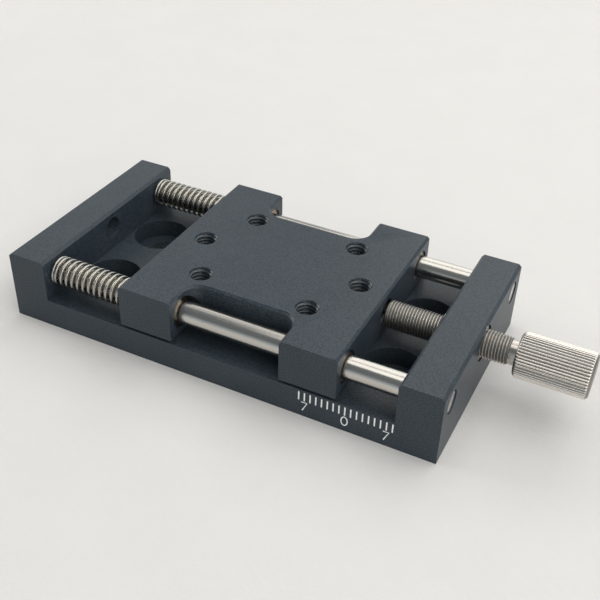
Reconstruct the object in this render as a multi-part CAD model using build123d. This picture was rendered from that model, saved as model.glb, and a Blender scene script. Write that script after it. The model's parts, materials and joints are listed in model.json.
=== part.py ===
from build123d import *
import os
from math import cos, pi, sin

# Linear translation stage with two guide rods, return springs and a fine drive screw.
# Millimetres. The origin is the centre of the base's underside, +X runs along the travel towards the
# knob, +Y towards the back rod and +Z up through the carriage's mounting face.
# The model shows the stage as it stands when the scale reads reading_at_rest.

# ---------------------------------------------------------------- driving sizes
# base: one block with a flat floor and two end walls
base_length = 80.0
base_width = 40.0
floor_thickness = 5.3
end_wall_height = 13.0
end_wall_thickness = 7.25
base_chamfer = 0.5

# base mounting holes, counterbored from above, in the two bays
base_hole_spacing_x = 55.0
base_hole_spacing_y = 16.0
base_hole_diameter = 5.5
counterbore_diameter = 10.4
counterbore_depth = 3.6

# guide rods and drive axis
axis_height = 9.5
rod_edge_distance = 4.0
rod_diameter = 4.0
rod_end_recess = 0.15
rod_end_chamfer = 0.3
rod_fit = 0.02

# grub screws that hold the rods, from the underside
grub_diameter = 3.0
grub_length = 4.0
grub_fit = 0.02

# carriage: an H-shaped plate with four ears, as wide as the base
carriage_length = 40.0
carriage_thickness = 7.7
carriage_floor_gap = 0.5
ear_length = 10.0
ear_depth = 7.0
notch_radius = 3.0
carriage_chamfer = 0.4

# tapped holes in the carriage: a square of four and a pair on the travel axis
square_hole_spacing = 20.0
pair_hole_spacing = 30.0
tap_drill_diameter = 3.3
tap_mouth_diameter = 4.2

# plain bearings in the ears
bush_wall = 0.8
bush_recess = 0.3
bush_fit = 0.02

# travel, counted on the scale
travel_each_way = 7.0
reading_at_rest = -1.75
right_gap_at_zero = 8.2

# drive screw, nut and thrust contact
thread_diameter = 4.9
thread_fit = 0.04
nut_wall = 0.65
nut_recess = 0.3
spare_hole_diameter = 4.2
tip_gap = 0.3
tip_chamfer = 0.4
pin_diameter = 2.0
pin_length = 2.6
pin_dome_height = 0.4
pin_stand_out = 0.6
pad_diameter = 5.0
pad_thickness = 2.0
contact_gap = 0.05
neck_length = 1.1
neck_diameter = 4.2
stub_length = 8.0

# knob
knob_diameter = 7.7
knob_length = 12.0
knob_chamfer = 0.4
knob_wall_gap = 0.35
knob_bore_depth = 8.2
knob_grub_diameter = 2.0
knob_grub_recess = 0.25

# return springs
wire_diameter = 0.55
spring_rod_gap = 0.12
coil_turns = 14
closed_turns = 1.25
closed_gap = 0.03
facets_per_turn = 9
wire_sides = 5

# ---------------------------------------------------------------- places that follow
rod_y = base_width / 2 - rod_edge_distance
rod_radius = rod_diameter / 2
wall_inner_x = base_length / 2 - end_wall_thickness
wall_middle_x = base_length / 2 - end_wall_thickness / 2
carriage_bottom = floor_thickness + carriage_floor_gap
carriage_top = carriage_bottom + carriage_thickness
carriage_right = wall_inner_x - right_gap_at_zero + reading_at_rest
carriage_left = carriage_right - carriage_length
carriage_x = (carriage_left + carriage_right) / 2
ear_bore_radius = rod_radius + bush_fit + bush_wall
thread_radius = thread_diameter / 2
nut_radius = thread_radius + thread_fit + nut_wall
screw_tip_x = carriage_right + tip_gap
pin_tip_x = screw_tip_x - pin_stand_out
pad_face_x = pin_tip_x - contact_gap
dome_radius = (pin_diameter**2 / 4 + pin_dome_height**2) / (2 * pin_dome_height)
knob_left_x = base_length / 2 + knob_wall_gap + reading_at_rest + travel_each_way
knob_right_x = knob_left_x + knob_length
thread_end_x = knob_left_x - neck_length
stub_end_x = knob_left_x + stub_length
stub_radius = neck_diameter / 2
spring_radius = rod_radius + spring_rod_gap + wire_diameter / 2
spring_start_x = -wall_inner_x + wire_diameter / 2
spring_end_x = carriage_left - wire_diameter / 2


def rod_along_x(radius, x_start, x_end, y=0.0, z=axis_height):
    """A plain cylinder along X between two places."""
    middle = Location(((x_start + x_end) / 2, y, z), (0, 90, 0))
    return middle * Cylinder(radius, x_end - x_start)


def turned_along_x(profile, y=0.0, z=axis_height):
    """A solid of revolution about X from a list of (x, radius) points, closed on its axis."""
    start_x = profile[0][0]
    end_x = profile[-1][0]
    outline = Polyline((start_x, 0), *profile, (end_x, 0), close=True)
    face = make_face(Plane.XZ * outline)
    return Pos(0, y, z) * revolve(face, Axis.X)


def make_base_body():
    """Side profile of floor and end walls, extruded across, then drilled."""
    side = Polyline(
        (-base_length / 2, 0),
        (base_length / 2, 0),
        (base_length / 2, end_wall_height),
        (wall_inner_x, end_wall_height),
        (wall_inner_x, floor_thickness),
        (-wall_inner_x, floor_thickness),
        (-wall_inner_x, end_wall_height),
        (-base_length / 2, end_wall_height),
        close=True,
    )
    body = extrude(make_face(Plane.XZ * side), base_width / 2, both=True)
    top_faces = body.faces().filter_by(Axis.Z).filter_by(lambda face: face.center().Z > floor_thickness + 1)
    body = chamfer(top_faces.edges().filter_by(Axis.Y), base_chamfer)

    through = base_hole_diameter / 2
    counterbore = counterbore_diameter / 2
    for hole in GridLocations(base_hole_spacing_x, base_hole_spacing_y, 2, 2):
        place = Pos(hole.position.X, hole.position.Y, floor_thickness)
        body -= place * Cylinder(through, 2 * floor_thickness)
        body -= place * Cylinder(counterbore, 2 * counterbore_depth)

    for y in (-rod_y, rod_y):
        body -= rod_along_x(rod_radius + rod_fit, -base_length, base_length, y)
    body -= rod_along_x(nut_radius, 0, base_length)
    body -= rod_along_x(spare_hole_diameter / 2, -base_length, 0)

    for x in (-wall_middle_x, wall_middle_x):
        for y in (-rod_y, rod_y):
            body -= Pos(x, y, axis_height / 2) * Cylinder(grub_diameter / 2, axis_height)
    return body


def make_guide_rod(y):
    """Hardened rod through both end walls, with chamfered ends just below the wall faces."""
    end_x = base_length / 2 - rod_end_recess
    profile = [
        (-end_x, rod_radius - rod_end_chamfer),
        (-end_x + rod_end_chamfer, rod_radius),
        (end_x - rod_end_chamfer, rod_radius),
        (end_x, rod_radius - rod_end_chamfer),
    ]
    return turned_along_x(profile, y)


def make_rod_set_screws():
    """Four grub screws, each pressing on the underside of a rod inside an end wall."""
    seat_z = axis_height - rod_radius
    screws = []
    for x in (-wall_middle_x, wall_middle_x):
        for y in (-rod_y, rod_y):
            screw = Cylinder(grub_diameter / 2 - grub_fit, grub_length)
            screws.append(Pos(x, y, seat_z - grub_length / 2) * screw)
    return Compound(children=screws)


def make_carriage_block():
    """H-shaped plate: rounded notches leave four ears, bored for the rods; six tapped holes."""
    notch_length = carriage_length - 2 * ear_length
    plan = Rectangle(carriage_length, base_width)
    for side in (-1, 1):
        notch_y = side * base_width / 2
        notch = RectangleRounded(notch_length, 2 * ear_depth, notch_radius)
        plan -= Pos(0, notch_y) * notch
    block = Pos(carriage_x, 0, carriage_bottom) * extrude(plan, carriage_thickness)
    top_edges = block.faces().sort_by(Axis.Z)[-1].edges()
    inside_edges = top_edges.filter_by(lambda edge: abs(edge.center().Y) < base_width / 2 - carriage_chamfer)
    block = chamfer(inside_edges, carriage_chamfer)

    for y in (-rod_y, rod_y):
        block -= rod_along_x(ear_bore_radius, carriage_left - 1, carriage_right + 1, y)

    square_holes = GridLocations(square_hole_spacing, square_hole_spacing, 2, 2)
    pair_holes = GridLocations(pair_hole_spacing, 1, 2, 1)
    mouth_depth = (tap_mouth_diameter - tap_drill_diameter) / 2
    mouth = Cone(tap_drill_diameter / 2, tap_mouth_diameter / 2, mouth_depth)
    for hole in [*square_holes, *pair_holes]:
        above = Pos(carriage_x + hole.position.X, hole.position.Y, carriage_top)
        block -= above * Cylinder(tap_drill_diameter / 2, 3 * carriage_thickness)
        block -= above * Pos(0, 0, -mouth_depth / 2) * mouth

    block -= rod_along_x(pad_diameter / 2, pad_face_x - pad_thickness, carriage_right + 1)
    return block


def make_bush(ear_left, y):
    """Plain bearing pressed into one ear, a little short of its faces."""
    start_x = ear_left + bush_recess
    end_x = ear_left + ear_length - bush_recess
    bush = rod_along_x(ear_bore_radius, start_x, end_x, y)
    return bush - rod_along_x(rod_radius + bush_fit, start_x - 1, end_x + 1, y)


def make_drive_nut():
    """Plain threaded sleeve pressed into the right end wall, round the drive screw."""
    nut = rod_along_x(nut_radius, wall_inner_x, base_length / 2 - nut_recess)
    return nut - rod_along_x(thread_radius + thread_fit, 0, base_length)


def make_thrust_pad():
    """Hardened disc at the bottom of the carriage's blind bore."""
    return rod_along_x(pad_diameter / 2, pad_face_x - pad_thickness, pad_face_x)


def make_drive_screw():
    """Fine-threaded screw at its crest diameter, with turned neck, knob stub and pin socket."""
    profile = [
        (screw_tip_x, thread_radius - tip_chamfer),
        (screw_tip_x + tip_chamfer, thread_radius),
        (thread_end_x - tip_chamfer, thread_radius),
        (thread_end_x, stub_radius),
        (stub_end_x, stub_radius),
    ]
    screw = turned_along_x(profile)
    return screw - rod_along_x(pin_diameter / 2, screw_tip_x - 1, pin_tip_x + pin_length)


def make_thrust_pin():
    """Hardened pin with a domed nose, pressed into the screw's end."""
    shoulder = (pin_tip_x + pin_dome_height, pin_diameter / 2)
    end_x = pin_tip_x + pin_length
    nose = RadiusArc((pin_tip_x, 0), shoulder, dome_radius)
    sides = Polyline(shoulder, (end_x, pin_diameter / 2), (end_x, 0), (pin_tip_x, 0))
    face = make_face(Plane.XZ * (nose + sides))
    return Pos(0, 0, axis_height) * revolve(face, Axis.X)


def make_knob():
    """Turned knob with chamfered ends, a blind bore for the stub and a tapped hole below it."""
    knob_radius = knob_diameter / 2
    profile = [
        (knob_left_x, knob_radius - knob_chamfer),
        (knob_left_x + knob_chamfer, knob_radius),
        (knob_right_x - knob_chamfer, knob_radius),
        (knob_right_x, knob_radius - knob_chamfer),
    ]
    knob = turned_along_x(profile)
    knob -= rod_along_x(stub_radius, knob_left_x - 1, knob_left_x + knob_bore_depth)
    grub_hole = Cylinder(knob_grub_diameter / 2, knob_radius)
    return knob - Pos(knob_left_x + stub_length / 2, 0, axis_height - knob_radius / 2) * grub_hole


def make_knob_set_screw():
    """Grub screw in the knob, pressing on the stub from below."""
    length = knob_diameter / 2 - knob_grub_recess - stub_radius
    screw = Cylinder(knob_grub_diameter / 2 - grub_fit, length)
    return Pos(knob_left_x + stub_length / 2, 0, axis_height - stub_radius - length / 2) * screw


def spring_advance(turns):
    """Distance along the spring after some turns: closed end coils with open coils between."""
    closed_pitch = wire_diameter + closed_gap
    open_turns = coil_turns - 2 * closed_turns
    open_length = spring_end_x - spring_start_x - 2 * closed_turns * closed_pitch
    turns_closed = min(turns, closed_turns) + max(turns - closed_turns - open_turns, 0)
    turns_open = min(max(turns - closed_turns, 0), open_turns)
    return closed_pitch * turns_closed + open_length / open_turns * turns_open


def wire_section(turns):
    """Polygon section of the wire, square to the helix, after some turns."""
    angle = 2 * pi * turns
    before = max(turns - 0.5 / facets_per_turn, 0)
    after = min(turns + 0.5 / facets_per_turn, coil_turns)
    rise = (spring_advance(after) - spring_advance(before)) / (2 * pi * (after - before))
    section_plane = Plane(
        origin=(spring_radius * cos(angle), spring_radius * sin(angle), spring_advance(turns)),
        x_dir=(cos(angle), sin(angle), 0),
        z_dir=(-spring_radius * sin(angle), spring_radius * cos(angle), rise),
    )
    return section_plane * RegularPolygon(wire_diameter / 2, wire_sides)


def make_spring(y):
    """Compression spring with closed ends, between the left end wall and the carriage."""
    steps = round(coil_turns * facets_per_turn)
    sections = [wire_section(coil_turns * step / steps) for step in range(steps + 1)]
    coil = loft(sections, ruled=True)
    return Location((spring_start_x, y, axis_height), (0, 90, 0)) * coil


left_ear = carriage_left
right_ear = carriage_right - ear_length

parts = {
    "base_body": make_base_body(),
    "front_guide_rod": make_guide_rod(-rod_y),
    "back_guide_rod": make_guide_rod(rod_y),
    "rod_set_screws": make_rod_set_screws(),
    "drive_nut": make_drive_nut(),
    "carriage_block": make_carriage_block(),
    "front_left_bush": make_bush(left_ear, -rod_y),
    "front_right_bush": make_bush(right_ear, -rod_y),
    "back_left_bush": make_bush(left_ear, rod_y),
    "back_right_bush": make_bush(right_ear, rod_y),
    "thrust_pad": make_thrust_pad(),
    "front_spring": make_spring(-rod_y),
    "back_spring": make_spring(rod_y),
    "drive_screw": make_drive_screw(),
    "thrust_pin": make_thrust_pin(),
    "knob": make_knob(),
    "knob_set_screw": make_knob_set_screw(),
}

os.makedirs("parts", exist_ok=True)
for name, part in parts.items():
    part.label = name
    export_step(part, f"parts/{name}.step")
    print(name, round(part.volume, 2))
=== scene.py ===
# %% [markdown]
# # A small linear translation stage
# A linear stage carries a plate along one straight line and holds it wherever it is left.
# This one has a U-shaped base, two guide rods, a carriage that slides on them, a fine screw
# that pushes the carriage, and two springs that push it back against the screw's tip.
# The construction comes in as a fixed frame of solids with real sizes. This lesson dresses it:
# each piece is finished, or replaced by one with the detail that the frame leaves out.

# %% Load the frame
import json
from math import ceil, cos, hypot, pi, radians, sin, sqrt

import bmesh
import bpy
from mathutils import Matrix, Vector


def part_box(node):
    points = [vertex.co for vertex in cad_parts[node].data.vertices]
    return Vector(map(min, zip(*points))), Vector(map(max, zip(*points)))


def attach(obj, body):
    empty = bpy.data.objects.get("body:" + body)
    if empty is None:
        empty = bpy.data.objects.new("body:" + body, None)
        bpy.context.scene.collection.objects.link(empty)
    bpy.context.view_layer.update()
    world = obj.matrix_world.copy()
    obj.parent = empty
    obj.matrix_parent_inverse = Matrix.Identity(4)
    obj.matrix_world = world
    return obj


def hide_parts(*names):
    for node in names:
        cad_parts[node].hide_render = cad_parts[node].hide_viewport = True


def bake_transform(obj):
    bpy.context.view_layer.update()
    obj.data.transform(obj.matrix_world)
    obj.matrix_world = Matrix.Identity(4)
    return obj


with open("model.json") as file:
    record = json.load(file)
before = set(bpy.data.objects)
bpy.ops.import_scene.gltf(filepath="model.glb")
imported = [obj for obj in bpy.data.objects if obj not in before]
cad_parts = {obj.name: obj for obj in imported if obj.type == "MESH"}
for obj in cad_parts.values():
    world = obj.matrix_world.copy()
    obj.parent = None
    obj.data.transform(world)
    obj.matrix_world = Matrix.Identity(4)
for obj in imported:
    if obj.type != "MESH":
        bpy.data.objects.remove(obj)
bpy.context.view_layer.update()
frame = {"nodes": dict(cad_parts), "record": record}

MM = 0.001

# %% [markdown]
# ## Writing node trees as formulas
# Shaders and Geometry Nodes are both networks of nodes. Drawn by hand they soon get hard to read,
# so two small classes write them as ordinary Python. `Wire` is one output of a node, and arithmetic
# on it adds Math nodes. `Sketch` is a tree being drawn, and its one method adds any node.

# %% Wires and sketches
class Wire:
    """One output of a node. Arithmetic on it adds Math nodes to the same tree."""

    def __init__(self, sketch, socket):
        self.sketch = sketch
        self.socket = socket

    def out(self, name):
        """Another output of the same node."""
        return Wire(self.sketch, self.socket.node.outputs[name])

    def math(self, operation, *values):
        return self.sketch.node("ShaderNodeMath", {"operation": operation}, dict(enumerate(values)))

    def __add__(self, other):
        return self.math("ADD", self, other)

    def __radd__(self, other):
        return self.math("ADD", other, self)

    def __sub__(self, other):
        return self.math("SUBTRACT", self, other)

    def __rsub__(self, other):
        return self.math("SUBTRACT", other, self)

    def __mul__(self, other):
        return self.math("MULTIPLY", self, other)

    def __rmul__(self, other):
        return self.math("MULTIPLY", other, self)

    def __truediv__(self, other):
        return self.math("DIVIDE", self, other)

    def __gt__(self, other):
        return self.math("GREATER_THAN", self, other)

    def __lt__(self, other):
        return self.math("LESS_THAN", self, other)

    def sine(self):
        return self.math("SINE", self)

    def cosine(self):
        return self.math("COSINE", self)

    def fraction(self):
        return self.math("FRACT", self)

    def size(self):
        return self.math("ABSOLUTE", self)

    def root(self):
        return self.math("SQRT", self)

    def at_most(self, other):
        return self.math("MINIMUM", self, other)

    def at_least(self, other):
        return self.math("MAXIMUM", self, other)

    def clamped(self):
        """The value held between 0 and 1."""
        return self.at_least(0.0).at_most(1.0)


class Sketch:
    """A node tree being drawn."""

    def __init__(self, tree):
        self.tree = tree

    def node(self, kind, settings=None, inputs=None, output=0):
        """Adds a node: settings first, then the values or links of its inputs, by name or number."""
        made = self.tree.nodes.new(kind)
        for name, value in (settings or {}).items():
            setattr(made, name, value)
        for key, value in (inputs or {}).items():
            if isinstance(value, Wire):
                self.tree.links.new(value.socket, made.inputs[key])
            else:
                made.inputs[key].default_value = value
        return Wire(self, made.outputs[output]) if len(made.outputs) else made

    def vector(self, x, y, z):
        return self.node("ShaderNodeCombineXYZ", None, {0: x, 1: y, 2: z})

    def mix(self, factor, first, second):
        """A colour between two others. A Mix node keeps all three channels."""
        return self.node("ShaderNodeMix", {"data_type": "RGBA"}, {0: factor, 6: first, 7: second}, 2)


# %% [markdown]
# ## Geometry Nodes that leave a plain mesh
# Whatever repeats or winds, such as a coil, a thread or the ribs of a knob, is described once as
# a tree with named inputs. Running the tree on an empty object and keeping the result gives
# a plain mesh that can be exported like any other.

# %% Helpers for geometry trees
def geometry_sketch(name, **sizes):
    """A geometry tree with one named input for each size, and the wires of those inputs."""
    tree = bpy.data.node_groups.new(name, "GeometryNodeTree")
    tree.interface.new_socket(name="Geometry", in_out="OUTPUT", socket_type="NodeSocketGeometry")
    for label, value in sizes.items():
        kind = "NodeSocketInt" if isinstance(value, int) else "NodeSocketFloat"
        tree.interface.new_socket(name=label, in_out="INPUT", socket_type=kind)
    sketch = Sketch(tree)
    entry = tree.nodes.new("NodeGroupInput")
    wires = {label: Wire(sketch, entry.outputs[label]) for label in sizes}
    return sketch, wires


def finish_tree(sketch, geometry, material):
    """Ends a tree with smooth faces, real geometry in place of instances, and its material."""
    smooth = sketch.node("GeometryNodeSetShadeSmooth", None, {"Geometry": geometry})
    real = sketch.node("GeometryNodeRealizeInstances", None, {"Geometry": smooth})
    dressed = sketch.node("GeometryNodeSetMaterial", None, {"Geometry": real, "Material": material})
    sketch.node("NodeGroupOutput", None, {"Geometry": dressed})


def show(name, mesh):
    """Puts a mesh on stage as an object at the origin."""
    thing = bpy.data.objects.new(name, mesh)
    bpy.context.scene.collection.objects.link(thing)
    return thing


def run_tree(name, sketch, **sizes):
    """Runs a geometry tree once with these sizes and keeps the result as a plain mesh."""
    thing = show(name, bpy.data.meshes.new(name))
    modifier = thing.modifiers.new("shape", "NODES")
    modifier.node_group = sketch.tree
    for item in sketch.tree.interface.items_tree:
        if item.in_out == "INPUT":
            modifier[item.identifier] = sizes[item.name]
    evaluated = thing.evaluated_get(bpy.context.evaluated_depsgraph_get())
    mesh = bpy.data.meshes.new_from_object(evaluated)
    thing.modifiers.remove(modifier)
    thing.data = mesh
    mesh.name = name
    print(name, "faces:", len(mesh.polygons))
    return thing


def place_wire(sketch):
    """The X, Y and Z of each point of a geometry, as wires."""
    place = sketch.node("GeometryNodeInputPosition")
    split = sketch.node("ShaderNodeSeparateXYZ", None, {0: place})
    return split, split.out("Y"), split.out("Z")


def grid_mesh(sketch, size_x, size_y, count_x, count_y):
    """A flat grid: one to wrap round an axis, or one whose points are places for copies."""
    values = {"Size X": size_x, "Size Y": size_y, "Vertices X": count_x, "Vertices Y": count_y}
    return sketch.node("GeometryNodeMeshGrid", None, values)


# %% [markdown]
# ## Sizes that the frame gives
# A dressed piece must fit the solid that it covers, so its sizes are read from the frame's boxes
# and are not typed in again.

# %% Read sizes from the frame
base_low, base_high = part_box("base_body")
carriage_low, carriage_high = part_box("carriage_block")
screw_low, screw_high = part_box("drive_screw")
knob_low, knob_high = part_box("knob")
nut_low, nut_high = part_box("drive_nut")


def axis_of(node):
    """Y and Z of the axis of a round node that lies along X."""
    low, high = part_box(node)
    middle = (low + high) / 2
    return middle.y, middle.z


def radius_of(node):
    """Radius of a round node that lies along X."""
    low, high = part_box(node)
    return max(high.y - low.y, high.z - low.z) / 2


axis_z = axis_of("drive_screw")[1]
rod_radius = radius_of("front_guide_rod")
screw_radius = radius_of("drive_screw")
knob_radius = radius_of("knob")
base_size = [round(value / MM, 2) for value in base_high - base_low]
print("base", base_size, "mm, rod radius", round(rod_radius / MM, 2))

# %% [markdown]
# ## Finishes
# Each finish is one short function that draws a shader. Patterns read Object coordinates, which
# stay with the piece when it moves. Only colour, roughness and bump change over a surface.

# %% A bare finish to start from
def new_finish(name, metallic, specular=0.5):
    """A material with one Principled shader, the sketch of its tree, and the shader."""
    material = bpy.data.materials.new(name)
    material.use_nodes = True
    material.node_tree.nodes.clear()
    sketch = Sketch(material.node_tree)
    constants = {"Metallic": metallic, "Specular IOR Level": specular}
    shader = sketch.node("ShaderNodeBsdfPrincipled", None, constants)
    sketch.node("ShaderNodeOutputMaterial", None, {"Surface": shader})
    return material, sketch, shader.socket.node


def feed(sketch, shader, **inputs):
    """Links or sets inputs of a shader, with underscores for spaces in their names."""
    for key, value in inputs.items():
        socket = shader.inputs[key.replace("_", " ")]
        if isinstance(value, Wire):
            sketch.tree.links.new(value.socket, socket)
        else:
            socket.default_value = value


def grain(sketch, stretch, detail=3.0, roughness=0.6):
    """Noise from 0 to 1 on the object's coordinates; stretch is its grains per metre each way."""
    place = sketch.node("ShaderNodeTexCoord", None, None, 3)
    mapped = sketch.node("ShaderNodeMapping", None, {"Vector": place, "Scale": stretch})
    settings = {"Vector": mapped, "Scale": 1.0, "Detail": detail, "Roughness": roughness}
    return sketch.node("ShaderNodeTexNoise", None, settings)


def bumped(sketch, height, strength, distance):
    """A normal that tilts as a relief of this distance in metres would tilt it."""
    values = {"Strength": strength, "Distance": distance, "Height": height}
    return sketch.node("ShaderNodeBump", None, values)


# %% [markdown]
# ### Black anodised aluminium
# Anodising grows a hard oxide skin that holds a black dye. The skin follows the blasted metal
# below it, so the surface is an even satin with a very fine grain, and it is a little blue.
# It is a coating over metal, but it reflects like a dark plastic, so the shader is not metallic.

# %% Anodised skin
BLAST_GRAINS = (4200, 4200, 4200)
CLOUD_GRAINS = (90, 90, 90)
BLAST_CONTRAST = 4.4
DYE_DARK = (0.0155, 0.0255, 0.036, 1)
DYE_LIGHT = (0.048, 0.0615, 0.075, 1)


def anodised_finish(name, specular, roughness):
    """A dyed oxide skin; the blast grain and a slow cloud together set its shade."""
    material, sketch, shader = new_finish(name, 0.0, specular)
    blast = grain(sketch, BLAST_GRAINS, 3.0)
    cloud = grain(sketch, CLOUD_GRAINS, 2.0)
    shade = (BLAST_CONTRAST * (blast - 0.5) + 0.5 * cloud + 0.25).clamped()
    feed(
        sketch,
        shader,
        Base_Color=sketch.mix(shade, DYE_DARK, DYE_LIGHT),
        Roughness=roughness + 0.12 * shade,
        Normal=bumped(sketch, blast, 0.5, 0.00001),
    )
    return material


# %% [markdown]
# ### Ground, drawn, turned and knurled steel
# Bright steel shows how it was cut. A ground rod has very fine lines round it, drawn wire is
# polished lengthwise, and a turned or rolled surface is rougher. The dark grooves of threads and
# knurls are painted shade, drawn in the next finish.

# %% Steel finishes
def steel_finish(name, light, dark, rough, spread, stretch, bump_distance):
    """A metal with lines stretched one way; its colour goes from dark to light with them."""
    material, sketch, shader = new_finish(name, 1.0)
    lines = grain(sketch, stretch, 4.0)
    cloud = grain(sketch, (150, 150, 150), 2.0)
    feed(
        sketch,
        shader,
        Base_Color=sketch.mix(0.6 * lines + 0.4 * cloud, dark, light),
        Roughness=rough + spread * lines,
        Normal=bumped(sketch, lines, 0.3, bump_distance),
    )
    return material


anodised = anodised_finish("black_anodised_skin", 0.3, 0.34)
cut_threads = anodised_finish("black_anodised_threads", 0.5, 0.2)
ground_steel = steel_finish(
    name="ground_rod_steel",
    light=(0.64, 0.615, 0.575, 1),
    dark=(0.52, 0.5, 0.465, 1),
    rough=0.16,
    spread=0.12,
    stretch=(9000, 200, 200),
    bump_distance=0.0000008,
)
spring_steel = steel_finish(
    name="bright_spring_wire",
    light=(0.5, 0.487, 0.45, 1),
    dark=(0.37, 0.36, 0.33, 1),
    rough=0.24,
    spread=0.06,
    stretch=(700, 3000, 3000),
    bump_distance=0.0000006,
)
nut_steel = steel_finish(
    name="plain_nut_steel",
    light=(0.5, 0.49, 0.47, 1),
    dark=(0.36, 0.35, 0.33, 1),
    rough=0.3,
    spread=0.15,
    stretch=(5000, 600, 600),
    bump_distance=0.000003,
)
black_oxide = steel_finish(
    name="black_oxide_steel",
    light=(0.09, 0.09, 0.095, 1),
    dark=(0.045, 0.045, 0.05, 1),
    rough=0.35,
    spread=0.15,
    stretch=(6000, 6000, 6000),
    bump_distance=0.000003,
)
bush_metal = steel_finish(
    name="bearing_bronze_turned",
    light=(0.4, 0.34, 0.26, 1),
    dark=(0.27, 0.22, 0.17, 1),
    rough=0.3,
    spread=0.15,
    stretch=(300, 9000, 9000),
    bump_distance=0.000002,
)
print("finishes so far:", len(bpy.data.materials))


# %% [markdown]
# ### Ribbed and threaded steel
# The grooves of a thread or a knurl are painted dark and its ridges bright: painted shade stands
# in for the shade that falls in the grooves. The shader measures how far a point is from the drive
# axis, and so how deep in a groove.

# %% Steel that is bright on its ridges
def groove_shaded_finish(name, ridge, groove_shade, floor_radius, ridge_radius, rough):
    """A metal with painted shade: bright at the ridges' radius and darker towards the floor of its
    grooves.
    """
    material, sketch, shader = new_finish(name, 1.0)
    place = sketch.node("ShaderNodeTexCoord", None, None, 3)
    split = sketch.node("ShaderNodeSeparateXYZ", None, {0: place})
    across = split.out("Y")
    above = split.out("Z") - axis_z
    radius = (across * across + above * above).root()
    height = ((radius - floor_radius) / (ridge_radius - floor_radius)).clamped()
    specks = grain(sketch, (3000, 3000, 3000), 3.0)
    # Painted shade: the colour goes from the ridge colour to the dark groove colour as a point lies
    # deeper in a groove.
    feed(
        sketch,
        shader,
        Base_Color=sketch.mix(height * (0.7 + 0.6 * specks), groove_shade, ridge),
        Roughness=rough + 0.25 * (1.0 - height) + 0.1 * specks,
        Normal=bumped(sketch, specks, 0.2, 0.000003),
    )
    return material


thread_depth = 0.3 * MM
rib_depth = 0.24 * MM
# The groove colours of the screw and the knob below are painted shade.
screw_steel = groove_shaded_finish(
    name="groove_shaded_screw_steel",
    ridge=(0.6, 0.575, 0.54, 1),
    groove_shade=(0.2, 0.192, 0.18, 1),
    floor_radius=screw_radius - thread_depth,
    ridge_radius=screw_radius,
    rough=0.2,
)
knob_steel = groove_shaded_finish(
    name="knurled_knob_steel",
    ridge=(0.92, 0.865, 0.8, 1),
    groove_shade=(0.28, 0.26, 0.235, 1),
    floor_radius=knob_radius - rib_depth,
    ridge_radius=knob_radius,
    rough=0.11,
)
neck_steel = steel_finish(
    name="turned_neck_steel",
    light=(0.66, 0.63, 0.58, 1),
    dark=(0.48, 0.46, 0.42, 1),
    rough=0.2,
    spread=0.1,
    stretch=(9000, 900, 900),
    bump_distance=0.000002,
)

# %% [markdown]
# ### White filling of the scale
# The scale is cut or marked into the black skin and filled white. The filling is matt and a little
# uneven, as dried paint is.

# %% Marking paint
def marking_finish():
    material, sketch, shader = new_finish("white_scale_filling", 0.0, 0.3)
    speckle = grain(sketch, (9000, 9000, 9000), 3.0)
    feed(
        sketch,
        shader,
        Base_Color=sketch.mix(speckle, (0.84, 0.85, 0.84, 1), (0.94, 0.95, 0.94, 1)),
        Roughness=0.6 + 0.2 * speckle,
    )
    return material


white_filling = marking_finish()
print("finishes:", len(bpy.data.materials))

# %% [markdown]
# ## Refined copies of the machined blocks
# The base and the carriage are milled blocks. Their solids are right, but a solid's edges are
# perfectly sharp, and a real edge is broken by a few hundredths of a millimetre and catches a line
# of light. A copy of the solid is joined into one skin, its flat triangles become whole faces, and
# a narrow bevel rounds every sharp edge.

# %% Merge, flatten and round a solid
edge_round = 0.09 * MM
smooth_below = radians(24)
flat_below = radians(0.6)
same_place = 0.0005 * MM


def merged_copy(node):
    """The solid's triangles as one closed skin in a bmesh."""
    work = bmesh.new()
    work.from_mesh(frame["nodes"][node].data)
    bmesh.ops.remove_doubles(work, verts=work.verts, dist=same_place)
    return work


def rounded_piece(name, work, material, width):
    """Turns a bmesh into a piece with whole flat faces and narrow rounded edges."""
    bmesh.ops.dissolve_limit(work, angle_limit=flat_below, verts=work.verts, edges=work.edges)
    mesh = bpy.data.meshes.new(name)
    work.to_mesh(mesh)
    work.free()
    mesh.materials.clear()
    mesh.materials.append(material)
    mesh.polygons.foreach_set("use_smooth", [True] * len(mesh.polygons))
    mesh.set_sharp_from_angle(angle=smooth_below)
    piece = show(name, mesh)
    bevel = piece.modifiers.new("broken_edges", "BEVEL")
    bevel.width = width
    bevel.segments = 2
    bevel.limit_method = "ANGLE"
    bevel.angle_limit = smooth_below
    bevel.harden_normals = True
    return piece


base_piece = rounded_piece("machined_base", merged_copy("base_body"), anodised, edge_round)
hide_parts("base_body")
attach(base_piece, "base")
print("machined_base faces:", len(base_piece.data.polygons))

# %% [markdown]
# ## The carriage and its tapped holes
# The six holes are tapped for M4 screws: four in a square and two on the travel axis. Their places
# and the drill's size are read from the frame's record of bolt patterns, so the threads cannot
# miss the holes.

# %% Where the tapped holes are
def mount_called(name):
    return next(mount for mount in frame["record"]["mounts"] if mount["name"] == name)


def hole_places(name):
    """X and Y of the holes of a rectangular or straight bolt pattern."""
    mount = mount_called(name)
    x, y, _ = mount["pos_m"]
    half_x = mount["dims"].get("spacing_x_mm", 0) * MM / 2
    half_y = mount["dims"].get("spacing_y_mm", 0) * MM / 2
    return sorted({(x + i * half_x, y + j * half_y) for i in (-1, 1) for j in (-1, 1)})


tapped_places = hole_places("carriage_square") + hole_places("carriage_pair")
drill_radius = mount_called("carriage_square")["dims"]["hole_r_mm"] * MM
thread_outer_radius = 2.0 * MM
hole_mouth_radius = 2.1 * MM
hole_wall_radius = 2.02 * MM
print("tapped holes:", len(tapped_places))

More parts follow.
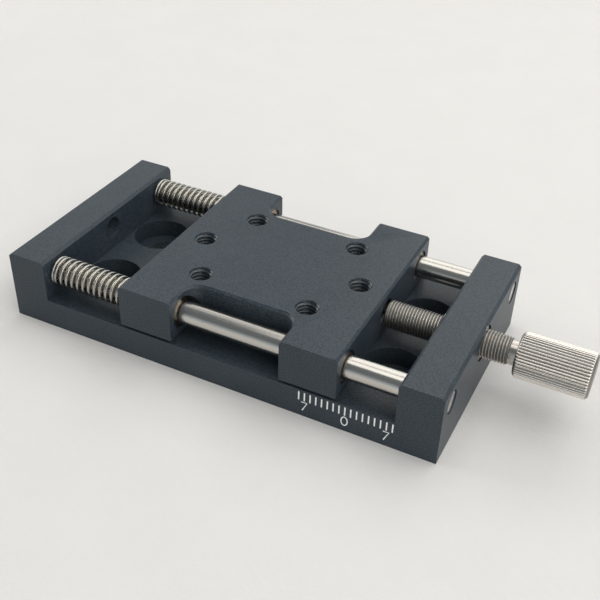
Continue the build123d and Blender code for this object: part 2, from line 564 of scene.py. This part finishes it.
# %% [markdown]
# ### Opening the holes
# The solid has the holes at the drill's size, and a tap cuts outwards from there. So in the copy the
# wall of each hole moves out to just past the thread's full depth, and a threaded sleeve fills the
# space with real ridges. The new wall is straight from mouth to underside: a tapered one would
# meet the mouth's bevel badly and show as streaks on the flat top.

# %% The carriage block with its holes opened
mouth_slack = 0.02 * MM
carriage_work = merged_copy("carriage_block")
for vertex in carriage_work.verts:
    for x, y in tapped_places:
        away = Vector((vertex.co.x - x, vertex.co.y - y))
        if away.length < hole_mouth_radius + mouth_slack:
            away *= hole_wall_radius / away.length
            vertex.co.x = x + away.x
            vertex.co.y = y + away.y
carriage_piece = rounded_piece("machined_carriage", carriage_work, anodised, edge_round)
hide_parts("carriage_block")
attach(carriage_piece, "carriage")
print("machined_carriage faces:", len(carriage_piece.data.polygons))

# %% [markdown]
# ### A thread as a formula
# A thread is a groove whose depth depends only on how far round and how far along a point is.
# Along one pitch a metric thread has a floor of a quarter, two flanks of five sixteenths and a
# crest of an eighth.
# A flat grid is wrapped round the axis, its rows are sheared by one pitch for each turn so that they
# follow the groove, and each row gets the radius of the thread's profile there. The first and
# last rows close on the axis or on the sleeve's outside, so that the mesh has no open edge.

# %% The thread's formula
GROOVE_HALF_FLAT = 1 / 8
FLANK_SHARE = 5 / 16
WELD = 0.0004 * MM
THREAD_SIZES = {
    "Start": 0.0,
    "Length": 0.0,
    "Pitch": 0.0,
    "Root": 0.0,
    "Crest": 0.0,
    "End": 0.0,
    "Rows per pitch": 1,
    "Rows": 1,
    "Columns": 1,
}


def thread_geometry(sketch, size, hollow):
    """A right-hand screw thread along X or, where hollow, a sleeve with the thread inside it."""
    grid = grid_mesh(sketch, 1.0, 1.0, size["Rows"], size["Columns"])
    x, y, _ = place_wire(sketch)
    row = (x + 0.5) * (size["Rows"] - 1.0)
    turn = y + 0.5
    phase = (row / size["Rows per pitch"]).fraction()
    along = (row / size["Rows per pitch"] + turn - 1.0) * size["Pitch"]
    along = along.at_least(0.0).at_most(size["Length"])
    slope = (((phase - 0.5).size() - GROOVE_HALF_FLAT) / FLANK_SHARE).clamped()
    ridge = size["Root"] + (size["Crest"] - size["Root"]) * slope
    from_end = along.at_most(size["Length"] - along)
    last = row > size["Rows"] - 1.5
    if hollow:
        radius = ridge.at_least(size["End"] - from_end)
        radius = radius + (size["End"] - radius) * last
        along = along * (1.0 - last)
    else:
        radius = ridge.at_most(size["End"] + from_end) * (1.0 - last) * (row > 0.5)
    angle = turn * (2 * pi)
    wrapped = sketch.vector(size["Start"] + along, radius * angle.cosine(), radius * angle.sine())
    moved = sketch.node("GeometryNodeSetPosition", None, {"Geometry": grid, "Position": wrapped})
    merged = sketch.node("GeometryNodeMergeByDistance", None, {"Geometry": moved, "Distance": WELD})
    if hollow:
        return merged
    return sketch.node("GeometryNodeFlipFaces", None, {"Mesh": merged})


def thread_rows(length, pitch, rows_per_pitch):
    """Rows of the grid for a length: one pitch more for the shear, and three for the ends."""
    return ceil(rows_per_pitch * (length / pitch + 1)) + 3


def moved_by(sketch, geometry, place, turn=(0, 0, 0), scale=(1, 1, 1)):
    """A geometry scaled, turned and moved."""
    settings = {"Geometry": geometry, "Translation": place, "Rotation": turn, "Scale": scale}
    return sketch.node("GeometryNodeTransform", None, settings)


# %% [markdown]
# ### Threaded sleeves in the carriage's holes
# One sleeve is drawn along X, stood upright, and set at the square of four holes and the pair on
# the travel axis. Its crest is at the drill's radius, and its ends are cut back at 45 degrees,
# which is the countersink that a screw finds its way in by.

# %% Sleeves of the tapped holes
coarse_pitch = 0.7 * MM
rows_per_pitch = 10
sleeve_drop = 0.1 * MM
sleeve_inset = 0.01 * MM
sleeve_overlap = 0.02 * MM
sleeve_top = carriage_high.z - sleeve_drop
sleeve_length = sleeve_top - carriage_low.z - sleeve_drop
square_spacing = mount_called("carriage_square")["dims"]["spacing_x_mm"] * MM
pair_spacing = mount_called("carriage_pair")["dims"]["spacing_x_mm"] * MM
carriage_x = (carriage_low.x + carriage_high.x) / 2
SLEEVE_SIZES = THREAD_SIZES | {"Square": 0.0, "Pair": 0.0, "Middle": 0.0, "Top": 0.0}

sleeve_sketch, sleeve_size = geometry_sketch("tapped_sleeves", **SLEEVE_SIZES)
sleeve = thread_geometry(sleeve_sketch, sleeve_size, True)
upright = moved_by(sleeve_sketch, sleeve, (0, 0, 0), (0, pi / 2, 0))
square = grid_mesh(sleeve_sketch, sleeve_size["Square"], sleeve_size["Square"], 2, 2)
pair_twice = grid_mesh(sleeve_sketch, sleeve_size["Pair"], 0.0, 2, 2)
welding = {"Geometry": pair_twice, "Distance": 0.001 * MM}
pair = sleeve_sketch.node("GeometryNodeMergeByDistance", None, welding)
places = sleeve_sketch.node("GeometryNodeJoinGeometry", None, {"Geometry": square})
sleeve_sketch.tree.links.new(pair.socket, places.socket.node.inputs["Geometry"])
repeats = {"Points": places, "Instance": upright}
placed = sleeve_sketch.node("GeometryNodeInstanceOnPoints", None, repeats)
carriage_top = sleeve_sketch.vector(sleeve_size["Middle"], 0.0, sleeve_size["Top"])
finish_tree(sleeve_sketch, moved_by(sleeve_sketch, placed, carriage_top), cut_threads)
sleeve_values = {
    "Start": 0.0,
    "Length": sleeve_length,
    "Pitch": coarse_pitch,
    "Root": thread_outer_radius - sleeve_inset,
    "Crest": drill_radius,
    "End": hole_wall_radius + sleeve_overlap,
    "Rows per pitch": rows_per_pitch,
    "Rows": thread_rows(sleeve_length, coarse_pitch, rows_per_pitch),
    "Columns": 49,
    "Square": square_spacing,
    "Pair": pair_spacing,
    "Middle": carriage_x,
    "Top": sleeve_top,
}
sleeves_piece = run_tree("tapped_hole_threads", sleeve_sketch, **sleeve_values)
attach(sleeves_piece, "carriage")

# %% [markdown]
# ## Turned pieces
# Rods, bushes, the nut, the pad and the pin are made on a lathe: one outline turned about an axis.
# Their corners are broken a little, as a machinist does before a piece leaves the lathe.

# %% Lathe
ARC_STEPS = (0.0, 0.33, 0.67, 1.0)
LONGEST_SHARE = 0.4
AXIS_BELOW = 0.0001 * MM


def softened(points, radius, closed):
    """The (x, r) outline with its corners off the axis cut to short arcs."""
    result = []
    for index, (x, r) in enumerate(points):
        if not closed and index in (0, len(points) - 1):
            result.append((x, r))
            continue
        before = points[index - 1]
        after = points[(index + 1) % len(points)]
        ends = []
        for other in (before, after):
            reach = hypot(other[0] - x, other[1] - r)
            share = min(radius, LONGEST_SHARE * reach) / reach
            ends.append((x + (other[0] - x) * share, r + (other[1] - r) * share))
        first, second = ends
        for step in ARC_STEPS:
            a, b, c = (1 - step) ** 2, 2 * step * (1 - step), step**2
            along = a * first[0] + b * x + c * second[0]
            result.append((along, a * first[1] + b * r + c * second[1]))
    return result


def turned(name, outline, axis, material, closed=False, corner=0.05 * MM, columns=72):
    """A piece of revolution about an axis along X, with whole ends on the axis where it is open."""
    y, z = axis
    work = bmesh.new()
    rings = []
    for x, r in softened(outline, corner, closed):
        if r < AXIS_BELOW:
            rings.append([work.verts.new((x, y, z))] * columns)
        else:
            angles = [2 * pi * step / columns for step in range(columns)]
            rings.append([work.verts.new((x, y + r * cos(a), z + r * sin(a))) for a in angles])
    neighbours = list(zip(rings, rings[1:])) + ([(rings[-1], rings[0])] if closed else [])
    for first, second in neighbours:
        for step in range(columns):
            after = (step + 1) % columns
            corners = (first[step], first[after], second[after], second[step])
            work.faces.new(dict.fromkeys(corners))
    bmesh.ops.recalc_face_normals(work, faces=work.faces)
    mesh = bpy.data.meshes.new(name)
    work.to_mesh(mesh)
    work.free()
    mesh.materials.append(material)
    mesh.polygons.foreach_set("use_smooth", [True] * len(mesh.polygons))
    return show(name, mesh)


def dressed(piece, node, slot, body):
    """Hides the node that a piece stands for and attaches the piece to its body; slot is not used."""
    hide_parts(node)
    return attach(piece, body)


def bar_outline(low_x, high_x, radius, chamfer):
    """The outline of a round bar with both its ends chamfered."""
    return [
        (low_x, 0.0),
        (low_x, radius - chamfer),
        (low_x + chamfer, radius),
        (high_x - chamfer, radius),
        (high_x, radius - chamfer),
        (high_x, 0.0),
    ]


def ring_outline(low_x, high_x, inner, outer):
    """The closed outline of a ring or a tube."""
    return [(low_x, inner), (high_x, inner), (high_x, outer), (low_x, outer)]


# %% [markdown]
# ### The pieces that come off the lathe
# The ground rods have chamfered ends, so that they start easily in their holes. The bushes slide on
# them with two hundredths of a millimetre to spare. The nut is pressed into the right wall, and
# a pin with a domed nose pushes on a hard pad: they touch at one point on the axis, so a screw
# that runs slightly out of true does not push the carriage sideways.

# %% Rods, bushes, nut, pad and pin
rod_chamfer = 0.3 * MM
for node in ("front_guide_rod", "back_guide_rod"):
    low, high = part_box(node)
    outline = bar_outline(low.x, high.x, rod_radius, rod_chamfer)
    dressed(turned("ground_" + node, outline, axis_of(node), ground_steel), node, "ground_steel", "base")

sliding_fit = 0.02 * MM
for node in ("front_left_bush", "front_right_bush", "back_left_bush", "back_right_bush"):
    low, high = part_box(node)
    outline = ring_outline(low.x, high.x, rod_radius + sliding_fit, radius_of(node))
    bush = turned("turned_" + node, outline, axis_of(node), bush_metal, closed=True)
    dressed(bush, node, "bearing_bronze", "carriage")

thread_fit = 0.04 * MM
nut_corner = 0.12 * MM
nut_axis = axis_of("drive_nut")
outline = ring_outline(nut_low.x, nut_high.x, screw_radius + thread_fit, radius_of("drive_nut"))
nut = turned("pressed_drive_nut", outline, nut_axis, nut_steel, closed=True, corner=nut_corner)
dressed(nut, "drive_nut", "nut_metal", "base")

pad_chamfer = 0.1 * MM
pad_low, pad_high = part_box("thrust_pad")
outline = bar_outline(pad_low.x, pad_high.x, radius_of("thrust_pad"), pad_chamfer)
pad = turned("hardened_thrust_pad", outline, axis_of("thrust_pad"), ground_steel)
dressed(pad, "thrust_pad", "ground_steel", "carriage")

pin_low, pin_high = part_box("thrust_pin")
pin_radius = radius_of("thrust_pin")
dome = 0.4 * MM
dome_radius = (pin_radius**2 + dome**2) / (2 * dome)
dome_steps = 8
nose = []
for step in range(dome_steps + 1):
    rise = dome * (step / dome_steps) ** 2
    nose.append((pin_low.x + rise, sqrt(max(dome_radius**2 - (dome_radius - rise) ** 2, 0.0))))
outline = nose + [(pin_high.x, pin_radius), (pin_high.x, 0.0)]
pin = turned("domed_thrust_pin", outline, axis_of("thrust_pin"), ground_steel)
dressed(pin, "thrust_pin", "ground_steel", "screw")

# %% [markdown]
# ## The drive screw
# One turn of the fine thread moves the carriage by half a millimetre, which is what makes the stage
# precise. The thread is rolled or cut, and a plain turned neck takes it into the knob.

# %% Thread and neck of the drive screw
fine_pitch = 0.5 * MM
stub_radius = 2.1 * MM
neck_length = 1.1 * MM
neck_overlap = 0.4 * MM
lead_in = 0.5 * MM
thread_end = knob_low.x - neck_length
screw_sketch, screw_size = geometry_sketch("drive_screw_thread", **THREAD_SIZES, **{"Height": 0.0})
screw_thread = thread_geometry(screw_sketch, screw_size, False)
screw_axis = screw_sketch.vector(0.0, 0.0, screw_size["Height"])
finish_tree(screw_sketch, moved_by(screw_sketch, screw_thread, screw_axis), screw_steel)
screw_values = {
    "Start": screw_low.x,
    "Length": thread_end - screw_low.x,
    "Pitch": fine_pitch,
    "Root": screw_radius - thread_depth,
    "Crest": screw_radius,
    "End": screw_radius - lead_in,
    "Rows per pitch": rows_per_pitch,
    "Rows": thread_rows(thread_end - screw_low.x, fine_pitch, rows_per_pitch),
    "Columns": 65,
    "Height": axis_z,
}
screw_piece = run_tree("drive_screw_thread", screw_sketch, **screw_values)
dressed(screw_piece, "drive_screw", "screw_steel", "screw")

outline = [
    (thread_end - neck_overlap, 0.0),
    (thread_end - neck_overlap, stub_radius),
    (screw_high.x, stub_radius),
    (screw_high.x, 0.0),
]
neck = turned("turned_screw_neck", outline, (0.0, axis_z), neck_steel)
dressed(neck, "drive_screw", "screw_steel", "screw")

# %% [markdown]
# ## The knob
# A straight knurl is rolled into the turned blank: a wheel with fine teeth presses rows of ribs into
# it, so that fingers grip it. Its ends are chamfered, and the chamfer cuts the ribs off at an angle.
# The knob is one wrapped grid. Rows 0 to 2 are the bore's floor, the rim of that floor and its
# mouth, the rows after them are the ribbed body, and the last row closes the far end.

# %% Knurled knob
RIB_STEEPNESS = 2.4
KNOB_SIZES = {
    "Start": 0.0,
    "Length": 0.0,
    "Radius": 0.0,
    "Rib depth": 0.0,
    "Chamfer": 0.0,
    "Bore": 0.0,
    "Bore depth": 0.0,
    "Height": 0.0,
    "Ribs": 1,
    "Rows": 1,
    "Columns per rib": 1,
}
knob_sketch, knob_size = geometry_sketch("knurled_knob", **KNOB_SIZES)
columns = knob_size["Ribs"] * knob_size["Columns per rib"] + 1.0
grid = grid_mesh(knob_sketch, 1.0, 1.0, knob_size["Rows"], columns)
x, y, _ = place_wire(knob_sketch)
row = (x + 0.5) * (knob_size["Rows"] - 1.0)
turn = y + 0.5
body_share = ((row - 3.0) / (knob_size["Rows"] - 5.0)).clamped()
body_along = knob_size["Length"] * (0.5 - 0.5 * (body_share * pi).cosine())
from_end = body_along.at_most(knob_size["Length"] - body_along)
crest = (((turn * knob_size["Ribs"]).fraction() - 0.5).size() * RIB_STEEPNESS).at_most(1.0)
rib_radius = knob_size["Radius"] - knob_size["Rib depth"] * (1.0 - crest)
body_radius = rib_radius.at_most(knob_size["Radius"] - knob_size["Chamfer"] + from_end)
in_bore = row < 2.5
deep = row < 1.5
on_axis = (row < 0.5) + (row > knob_size["Rows"] - 1.5)
radius = (body_radius + (knob_size["Bore"] - body_radius) * in_bore) * (1.0 - on_axis)
along = body_along * (1.0 - in_bore) + knob_size["Bore depth"] * deep
angle = turn * (2 * pi)
wrapped = knob_sketch.vector(
    knob_size["Start"] + along,
    radius * angle.cosine(),
    knob_size["Height"] + radius * angle.sine(),
)
moved = knob_sketch.node("GeometryNodeSetPosition", None, {"Geometry": grid, "Position": wrapped})
merged = knob_sketch.node("GeometryNodeMergeByDistance", None, {"Geometry": moved, "Distance": WELD})
outwards = knob_sketch.node("GeometryNodeFlipFaces", None, {"Mesh": merged})
finish_tree(knob_sketch, outwards, knob_steel)
knob_chamfer = 0.42 * MM
bore_fit = 0.01 * MM
bore_depth = 8.2 * MM
rib_count = 46
knob_values = {
    "Start": knob_low.x,
    "Length": knob_high.x - knob_low.x,
    "Radius": knob_radius,
    "Rib depth": rib_depth,
    "Chamfer": knob_chamfer,
    "Bore": stub_radius + bore_fit,
    "Bore depth": bore_depth,
    "Height": axis_z,
    "Ribs": rib_count,
    "Rows": 64,
    "Columns per rib": 8,
}
knob_piece = run_tree("knurled_knob", knob_sketch, **knob_values)
dressed(knob_piece, "knob", "knob_steel", "screw")

# %% [markdown]
# ## Grub screws
# A grub screw has no head. Its thread runs its full length, and a hexagon socket is broached into
# its end. Four of them hold the rods from the underside, and a smaller one holds the knob.

# %% Grub screws with hexagon sockets
GRUB_DEPTH_SHARE = 0.6
GRUB_ROWS_PER_PITCH = 6
SOCKET_RADIUS_SHARE = 0.58
SOCKET_DEPTH_SHARE = 0.45
GRUB_SIZES = THREAD_SIZES | {
    "Socket": 0.0,
    "Socket depth": 0.0,
    "Spacing X": 0.0,
    "Spacing Y": 0.0,
    "Count X": 1,
    "Count Y": 1,
    "Middle X": 0.0,
    "Bottom": 0.0,
}


def grub_screws(name, node, body, radius, pitch, counts=(1, 1), spacing=(0.0, 0.0)):
    """Grub screws that stand upright with their sockets below, on a grid of places."""
    low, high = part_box(node)
    length = high.z - low.z
    root = radius - GRUB_DEPTH_SHARE * pitch
    sketch, size = geometry_sketch(name, **GRUB_SIZES)
    screw = moved_by(sketch, thread_geometry(sketch, size, False), (0, 0, 0), (0, -pi / 2, 0))
    hexagon = {"Vertices": 6, "Radius": size["Socket"], "Depth": size["Socket depth"] * 2.0}
    prism = sketch.node("GeometryNodeMeshCylinder", None, hexagon)
    hollowed = sketch.node(
        "GeometryNodeMeshBoolean",
        {"operation": "DIFFERENCE", "solver": "EXACT"},
        {"Mesh 1": screw, "Mesh 2": prism},
    )
    places = grid_mesh(sketch, size["Spacing X"], size["Spacing Y"], size["Count X"], size["Count Y"])
    repeats = {"Points": places, "Instance": hollowed}
    placed = sketch.node("GeometryNodeInstanceOnPoints", None, repeats)
    lifted = moved_by(sketch, placed, sketch.vector(size["Middle X"], 0.0, size["Bottom"]))
    finish_tree(sketch, lifted, black_oxide)
    values = {
        "Start": 0.0,
        "Length": length,
        "Pitch": pitch,
        "Root": root,
        "Crest": radius,
        "End": root,
        "Rows per pitch": GRUB_ROWS_PER_PITCH,
        "Rows": thread_rows(length, pitch, GRUB_ROWS_PER_PITCH),
        "Columns": 37,
        "Socket": radius * SOCKET_RADIUS_SHARE,
        "Socket depth": length * SOCKET_DEPTH_SHARE,
        "Spacing X": spacing[0],
        "Spacing Y": spacing[1],
        "Count X": counts[0],
        "Count Y": counts[1],
        "Middle X": (low.x + high.x) / 2,
        "Bottom": low.z,
    }
    return dressed(run_tree(name, sketch, **values), node, "black_steel", body)


rod_y = axis_of("back_guide_rod")[0]
grub_low, grub_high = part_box("rod_set_screws")
grub_radius = grub_high.y - rod_y
grub_screws(
    name="socket_rod_set_screws",
    node="rod_set_screws",
    body="base",
    radius=grub_radius,
    pitch=0.5 * MM,
    counts=(2, 2),
    spacing=(grub_high.x - grub_low.x - 2 * grub_radius, 2 * rod_y),
)
knob_grub_low, knob_grub_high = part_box("knob_set_screw")
grub_screws(
    name="socket_knob_set_screw",
    node="knob_set_screw",
    body="screw",
    radius=(knob_grub_high.y - knob_grub_low.y) / 2,
    pitch=0.4 * MM,
)

# %% [markdown]
# ## Return springs
# A compression spring sits round each rod between the left wall and the carriage. It takes up all
# the play, so that the carriage always rests on the screw's tip. Its end coils are closed, so
# they lie flat on the wall and on the carriage. The wire's centre line is a helix whose pitch is
# small in the end coils, and a circle is swept along it.

# %% Spring tree
SPRING_SIZES = {
    "Start": 0.0,
    "Length": 0.0,
    "Radius": 0.0,
    "Wire": 0.0,
    "Closed gap": 0.0,
    "Closed turns": 0.0,
    "Turns": 0.0,
    "Side": 0.0,
    "Height": 0.0,
    "Steps": 1,
}
spring_sketch, spring_size = geometry_sketch("return_spring", **SPRING_SIZES)
line = spring_sketch.node("GeometryNodeCurvePrimitiveLine")
sampling = {"Curve": line, "Count": spring_size["Steps"]}
steps = spring_sketch.node("GeometryNodeResampleCurve", None, sampling)
turns = spring_sketch.node("GeometryNodeSplineParameter") * spring_size["Turns"]
closed_turns = spring_size["Closed turns"]
closed_pitch = spring_size["Wire"] + spring_size["Closed gap"]
open_turns = spring_size["Turns"] - 2.0 * closed_turns
open_length = spring_size["Length"] - 2.0 * closed_turns * closed_pitch
turned_closed = turns.at_most(closed_turns) + (turns - closed_turns - open_turns).at_least(0.0)
turned_open = (turns - closed_turns).at_least(0.0).at_most(open_turns)
advance = closed_pitch * turned_closed + open_length / open_turns * turned_open
angle = turns * (2 * pi)
helix = spring_sketch.vector(
    spring_size["Start"] + advance,
    spring_size["Side"] - spring_size["Radius"] * angle.sine(),
    spring_size["Height"] - spring_size["Radius"] * angle.cosine(),
)
coil = spring_sketch.node("GeometryNodeSetPosition", None, {"Geometry": steps, "Position": helix})
wire = spring_sketch.node(
    "GeometryNodeCurvePrimitiveCircle", None, {"Resolution": 12, "Radius": spring_size["Wire"] * 0.5}
)
swept = spring_sketch.node(
    "GeometryNodeCurveToMesh", None, {"Curve": coil, "Profile Curve": wire, "Fill Caps": True}
)
finish_tree(spring_sketch, swept, spring_steel)

# %% [markdown]
# ### One spring on each rod
# Both springs are the same part, so they share one tree and differ only in their place.

# %% The two springs
wire_diameter = 0.55 * MM
rod_clearance = 0.12 * MM
closed_gap = 0.03 * MM
coil_turns = 14
end_turns = 1.25
steps_per_turn = 32
for node in ("front_spring", "back_spring"):
    low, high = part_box(node)
    side, height = axis_of(node.replace("spring", "guide_rod"))
    spring_values = {
        "Start": low.x + wire_diameter / 2,
        "Length": high.x - low.x - wire_diameter,
        "Radius": rod_radius + (rod_clearance + wire_diameter / 2),
        "Wire": wire_diameter,
        "Closed gap": closed_gap,
        "Closed turns": end_turns,
        "Turns": float(coil_turns),
        "Side": side,
        "Height": height,
        "Steps": coil_turns * steps_per_turn + 1,
    }
    spring = run_tree("coiled_" + node, spring_sketch, **spring_values)
    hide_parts(node)
    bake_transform(spring)

# %% [markdown]
# ## The scale
# Seventeen lines one millimetre apart are marked on the base's front, and the carriage's right edge
# is read against them. A line is a round stroke flattened to a film, and so are the three numerals.

# %% Scale lines
TICK_SIZES = {
    "First": 0.0,
    "Step": 0.0,
    "Width": 0.0,
    "Length": 0.0,
    "Top": 0.0,
    "Front": 0.0,
    "Flatness": 0.0,
    "Count": 1,
}
tick_sketch, tick_size = geometry_sketch("scale_lines", **TICK_SIZES)
start = tick_sketch.vector(0.0, 0.0, tick_size["Top"])
end = tick_sketch.vector(0.0, 0.0, tick_size["Top"] - tick_size["Length"])
line = tick_sketch.node("GeometryNodeCurvePrimitiveLine", None, {"Start": start, "End": end})
section = tick_sketch.node(
    "GeometryNodeCurvePrimitiveCircle", None, {"Resolution": 16, "Radius": tick_size["Width"] * 0.5}
)
stroke = tick_sketch.node(
    "GeometryNodeCurveToMesh", None, {"Curve": line, "Profile Curve": section, "Fill Caps": True}
)
row_of_places = tick_sketch.node(
    "GeometryNodeMeshLine",
    {"count_mode": "TOTAL", "mode": "OFFSET"},
    {
        "Count": tick_size["Count"],
        "Start Location": tick_sketch.vector(tick_size["First"], 0.0, 0.0),
        "Offset": tick_sketch.vector(tick_size["Step"], 0.0, 0.0),
    },
)
repeats = {"Points": row_of_places, "Instance": stroke}
lines = tick_sketch.node("GeometryNodeInstanceOnPoints", None, repeats)
lines = tick_sketch.node("GeometryNodeRealizeInstances", None, {"Geometry": lines})
film = moved_by(
    tick_sketch,
    lines,
    tick_sketch.vector(0.0, tick_size["Front"], 0.0),
    scale=tick_sketch.vector(1.0, tick_size["Flatness"], 1.0),
)
finish_tree(tick_sketch, film, white_filling)

rest_offset = 1.75 * MM
scale_zero_x = carriage_high.x + rest_offset
lines_each_side = 8
tick_top = 4.89 * MM
tick_length = 1.68 * MM
flatness = 0.1
tick_values = {
    "First": scale_zero_x - lines_each_side * MM,
    "Step": 1 * MM,
    "Width": 0.25 * MM,
    "Length": tick_length,
    "Top": tick_top,
    "Front": base_low.y,
    "Flatness": flatness,
    "Count": 2 * lines_each_side + 1,
}
ticks = run_tree("scale_lines", tick_sketch, **tick_values)
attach(ticks, "base")

# %% [markdown]
# ### Numerals at the scale's middle and ends
# The numerals are drawn as an engraver cuts them, with one stroke each: three points make a 7,
# and a ring of points makes the 0. A round bevel gives the stroke its width, and the same
# flattening as for the lines leaves a film of paint. Sizes in the strokes are in millimetres.

# %% Scale numerals
NUMERAL_HALF = 0.86
ZERO_HALF_WIDTH = 0.53
SEVEN = [(-0.5, NUMERAL_HALF), (0.5, NUMERAL_HALF), (-0.32, -NUMERAL_HALF)]
ZERO = [(ZERO_HALF_WIDTH * sin(a * pi / 16), NUMERAL_HALF * cos(a * pi / 16)) for a in range(32)]
numeral_gap = 0.33 * MM
numeral_z = tick_top - tick_length - numeral_gap - NUMERAL_HALF * MM
numerals_curve = bpy.data.curves.new("scale_numerals", "CURVE")
numerals_curve.dimensions = "3D"
numerals_curve.bevel_depth = 0.11 * MM
numerals_curve.bevel_resolution = 3
numerals_curve.use_fill_caps = True
for reading, strokes in ((-7, SEVEN), (0, ZERO), (7, SEVEN)):
    spline = numerals_curve.splines.new("POLY")
    spline.points.add(len(strokes) - 1)
    spline.use_cyclic_u = strokes is ZERO
    for point, (x, z) in zip(spline.points, strokes):
        point.co = (scale_zero_x + (reading + x) * MM, 0.0, numeral_z + z * MM, 1.0)
drawn = bpy.data.objects.new("scale_numerals_curve", numerals_curve)
bpy.context.scene.collection.objects.link(drawn)
drawn_now = drawn.evaluated_get(bpy.context.evaluated_depsgraph_get())
numerals_mesh = bpy.data.meshes.new_from_object(drawn_now)
bpy.data.objects.remove(drawn)
flattened = Matrix.Diagonal((1, flatness, 1, 1))
numerals_mesh.transform(Matrix.Translation((0, base_low.y, 0)) @ flattened)
numerals_mesh.materials.clear()
numerals_mesh.materials.append(white_filling)
numerals = show("scale_numerals", numerals_mesh)
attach(numerals, "base")
print("scale_numerals faces:", len(numerals_mesh.polygons))

# %% [markdown]
# ## Table, light and camera
# The stage stands on a pale matt table. A slow variation keeps the table from looking like a flat
# fill, and a fine tooth roughens it as paper or primed board is rough.

# %% Table
def table_finish():
    """Pale matt board."""
    material, sketch, shader = new_finish("pale_table", 0.0, 0.3)
    fibre = grain(sketch, (60, 60, 60), 4.0)
    tooth = grain(sketch, (700, 700, 700), 4.0, 0.7)
    feed(
        sketch,
        shader,
        Base_Color=sketch.mix(fibre, (0.665, 0.657, 0.648, 1), (0.708, 0.7, 0.692, 1)),
        Roughness=0.75 + 0.1 * fibre,
        Normal=bumped(sketch, tooth, 0.25, 0.0004),
    )
    return material


def flat_sheet(name, half_size, z):
    """A level square sheet round the origin."""
    mesh = bpy.data.meshes.new(name)
    corners = [(x * half_size, y * half_size, z) for x, y in ((-1, -1), (1, -1), (1, 1), (-1, 1))]
    mesh.from_pydata(corners, [], [(0, 1, 2, 3)])
    return show(name, mesh)


table_half_size = 1.5
table_gap = 0.02 * MM
table = flat_sheet("table", table_half_size, base_low.z - table_gap)
table.data.materials.append(table_finish())
print("table half size:", table_half_size, "m")


# %% [markdown]
# ### A ring of soft lights in a pale room
# Ground rods and ridged steel show the room that they stand in, so the lights are broad squares on
# a dome round the stage. Many weak lights give an even light without hard shadows. They are a
# little warm, and the room is a little cool and palest at the height of its walls, which keeps
# the dark skin blue in the shade and the steel neutral.

# %% Lights
LAMP_SIZE = 0.35
LAMP_DISTANCE = 0.6
LAMP_COLOUR = (1.0, 0.97, 0.92)
SOFTBOXES = {
    "overhead": (0, 90, 0.62),
    "behind": (0, 50, 0.49),
    "behind_low": (0, 25, 0.41),
    "behind_right": (45, 50, 0.8),
    "right": (90, 50, 0.83),
    "front_right": (135, 50, 0.45),
    "front_right_low": (135, 25, 0.73),
    "left": (270, 25, 1.41),
    "behind_left_low": (315, 25, 0.27),
    "behind_left": (315, 50, 0.18),
}


def softbox(name, azimuth, elevation, watts):
    """A square soft light that faces the object. Azimuth turns from +Y towards +X."""
    azimuth, elevation = radians(azimuth), radians(elevation)
    away = Vector((sin(azimuth) * cos(elevation), cos(azimuth) * cos(elevation), sin(elevation)))
    lamp = bpy.data.lights.new(name, "AREA")
    lamp.shape = "SQUARE"
    lamp.size = LAMP_SIZE
    lamp.energy = watts
    lamp.color = LAMP_COLOUR
    thing = bpy.data.objects.new(name, lamp)
    thing.location = LAMP_DISTANCE * away
    thing.rotation_euler = (-away).to_track_quat("-Z", "Y").to_euler()
    bpy.context.scene.collection.objects.link(thing)
    return thing


for lamp_name, (lamp_azimuth, lamp_elevation, lamp_watts) in SOFTBOXES.items():
    softbox(lamp_name, lamp_azimuth, lamp_elevation, lamp_watts)
print("soft lights:", len(bpy.data.lights))

# %% [markdown]
# ### The room
# What the lights leave out comes from the room. Its light is strongest level with the horizon,
# where walls would stand, and falls off towards the ceiling.

# %% Room
room_light = 0.2
wall_light = 0.55
wall_rise = 0.45
room_colour = (0.84, 0.93, 1.0, 1)


def pale_room():
    """A world that is brightest at the horizon; wall_rise is the sine of the walls' height."""
    world = bpy.data.worlds.new("pale_room")
    world.use_nodes = True
    world.node_tree.nodes.clear()
    sketch = Sketch(world.node_tree)
    direction = sketch.node("ShaderNodeTexCoord")
    rise = sketch.node("ShaderNodeSeparateXYZ", None, {0: direction}).out("Z")
    wall = (1.0 - rise.size() / wall_rise).at_least(0.0)
    strength = room_light + wall_light * wall
    light = sketch.node("ShaderNodeBackground", None, {"Color": room_colour, "Strength": strength})
    sketch.node("ShaderNodeOutputWorld", None, {"Surface": light})
    return world


bpy.context.scene.world = pale_room()
bpy.context.scene.view_settings.view_transform = "Standard"
print("room light:", room_light, "with walls at", wall_light)

# %% [markdown]
# ### Camera
# The camera looks down on the stage from the front right, where the screw, the rods, the springs
# and the scale are all in view. It is aimed by three angles, as a tripod's head is: azimuth,
# elevation and a slight roll.

# %% Camera
camera_place = (0.064133, -0.121161, 0.10377)
camera_data = bpy.data.cameras.new("camera")
camera_data.lens = 56.546
camera_data.sensor_width = 36.0
camera_data.clip_start = 0.005
camera = bpy.data.objects.new("camera", camera_data)
azimuth = radians(25.354)
elevation = radians(35.964)
roll = radians(2.006)
forward = Vector((-sin(azimuth) * cos(elevation), cos(azimuth) * cos(elevation), -sin(elevation)))
level_right = Vector((cos(azimuth), sin(azimuth), 0.0))
level_up = level_right.cross(forward)
right = level_right * cos(roll) + level_up * sin(roll)
up = right.cross(forward)
frame_of_view = Matrix((right, up, -forward)).transposed().to_4x4()
camera.matrix_world = Matrix.Translation(camera_place) @ frame_of_view
bpy.context.scene.collection.objects.link(camera)
bpy.context.scene.camera = camera
print("camera lens:", camera_data.lens, "mm")
